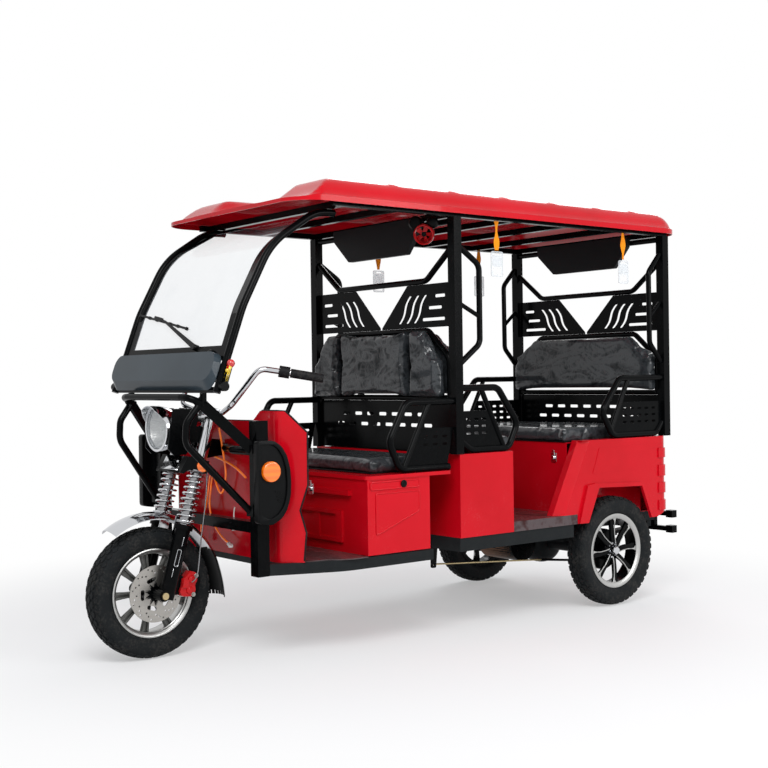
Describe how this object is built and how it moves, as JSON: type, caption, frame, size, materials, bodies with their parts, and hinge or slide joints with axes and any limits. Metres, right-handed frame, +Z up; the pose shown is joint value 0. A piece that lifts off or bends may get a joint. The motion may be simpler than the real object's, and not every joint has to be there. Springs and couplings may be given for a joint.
{
  "type": "electric passenger tricycle",
  "caption": "Electric passenger tricycle with a steered front wheel, driver's bench, rear-facing and forward-facing passenger benches and a hard canopy.",
  "frame": {"origin": "on the ground, in the middle of the vehicle's length and width", "axes": "+X forward, +Y to the rider's left, +Z up"},
  "size_m": [2.81, 1.044, 1.795],
  "materials": {
    "gloss_red_paint": "glossy bright red paint on pressed steel",
    "black_frame_paint": "satin black paint on welded tube",
    "chassis_paint": "dark grey-black chassis paint",
    "apron_grey": "satin slate-grey paint",
    "polished_chrome": "polished chrome plate",
    "bright_steel": "ground and zinc-plated steel",
    "rim_alloy": "machined and dark-painted alloy",
    "tyre_rubber": "moulded tread and smooth side walls",
    "soft_rubber": "moulded rubber",
    "black_plastic": "grained moulded plastic",
    "black_leatherette": "black leatherette under clear wrapping film",
    "amber_lens": "clear amber lamp lens",
    "red_lens": "red lamp lens",
    "clear_glass": "clear curved glass",
    "caliper_red": "red painted casting",
    "fork_silver": "silver-grey paint",
    "floor_cover": "brown floor covering under film",
    "motor_casting": "copper-brown motor casing",
    "strap_webbing": "orange woven strap with a clear frame"
  },
  "bodies": {
    "chassis": {"chassis_frame": "chassis_paint", "front_frame": "black_frame_paint", "front_guard": "black_frame_paint", "windshield_pillars": "black_frame_paint", "windshield_glass": "clear_glass", "windshield_apron": "apron_grey", "marker_lamps": "red_lens", "leg_shield": "gloss_red_paint", "side_covers": "black_plastic", "side_lamps": "amber_lens", "floor_panels": "floor_cover", "driver_seat_box": "gloss_red_paint", "battery_block": "black_plastic", "middle_seat_box": "gloss_red_paint", "rear_body": "gloss_red_paint", "rear_bench_box": "gloss_red_paint", "seat_back_frames": "black_frame_paint", "slotted_plates": "black_frame_paint", "driver_back_cushions": "black_leatherette", "middle_cushions": "black_leatherette", "rear_back_cushion": "black_leatherette", "driver_armrests": "black_frame_paint", "middle_armrests": "black_frame_paint", "rear_armrests": "black_frame_paint", "grab_rails": "black_frame_paint", "roof_shell": "gloss_red_paint", "roof_rails": "black_frame_paint", "ceiling_panels": "black_plastic", "hand_straps": "strap_webbing", "rear_axle": "chassis_paint", "drive_motor": "motor_casting", "leaf_springs": "chassis_paint", "rear_bumper": "black_frame_paint", "tail_lamps": "red_lens", "brake_pedal": "bright_steel"},
    "steering": {"fork": "polished_chrome", "fork_sliders": "black_frame_paint", "fork_springs": "polished_chrome", "fork_sleeves": "polished_chrome", "front_fender": "polished_chrome", "handlebar": "polished_chrome", "grips": "soft_rubber", "headlight": "polished_chrome", "headlight_lens": "clear_glass", "headlight_bracket": "black_frame_paint", "yoke_cover": "fork_silver", "turn_lamps": "amber_lens", "brake_caliper": "caliper_red"},
    "front_wheel": {"front_tyre": "tyre_rubber", "front_rim": "rim_alloy", "brake_disc": "bright_steel"},
    "rear_wheel_left": {"rear_tyre_left": "tyre_rubber", "rear_rim_left": "rim_alloy"},
    "rear_wheel_right": {"rear_tyre_right": "tyre_rubber", "rear_rim_right": "rim_alloy"},
    "driver_seat_lid": {"driver_cushion": "black_leatherette"},
    "rear_seat_lid": {"rear_cushion": "black_leatherette"}
  },
  "joints": [
    {"name": "steering", "type": "hinge", "parent": "chassis", "child": "steering", "pos_m": [1.0921, 0, 0.245], "axis": [-0.289, 0, 0.9573], "range_deg": [-35, 35]},
    {"name": "front_wheel_spin", "type": "hinge", "parent": "steering", "child": "front_wheel", "pos_m": [1.16, 0, 0.245], "axis": [0, 1, 0], "continuous": true},
    {"name": "rear_wheel_left_spin", "type": "hinge", "parent": "chassis", "child": "rear_wheel_left", "pos_m": [-0.915, 0.44, 0.245], "axis": [0, 1, 0], "continuous": true},
    {"name": "rear_wheel_right_spin", "type": "hinge", "parent": "chassis", "child": "rear_wheel_right", "pos_m": [-0.915, -0.44, 0.245], "axis": [0, 1, 0], "continuous": true},
    {"name": "driver_seat_lift", "type": "hinge", "parent": "chassis", "child": "driver_seat_lid", "pos_m": [0.084, 0, 0.671], "axis": [0, -1, 0], "range_deg": [0, 55]},
    {"name": "rear_seat_lift", "type": "hinge", "parent": "chassis", "child": "rear_seat_lid", "pos_m": [-1.204, 0, 0.746], "axis": [0, -1, 0], "range_deg": [0, 60]}
  ]
}
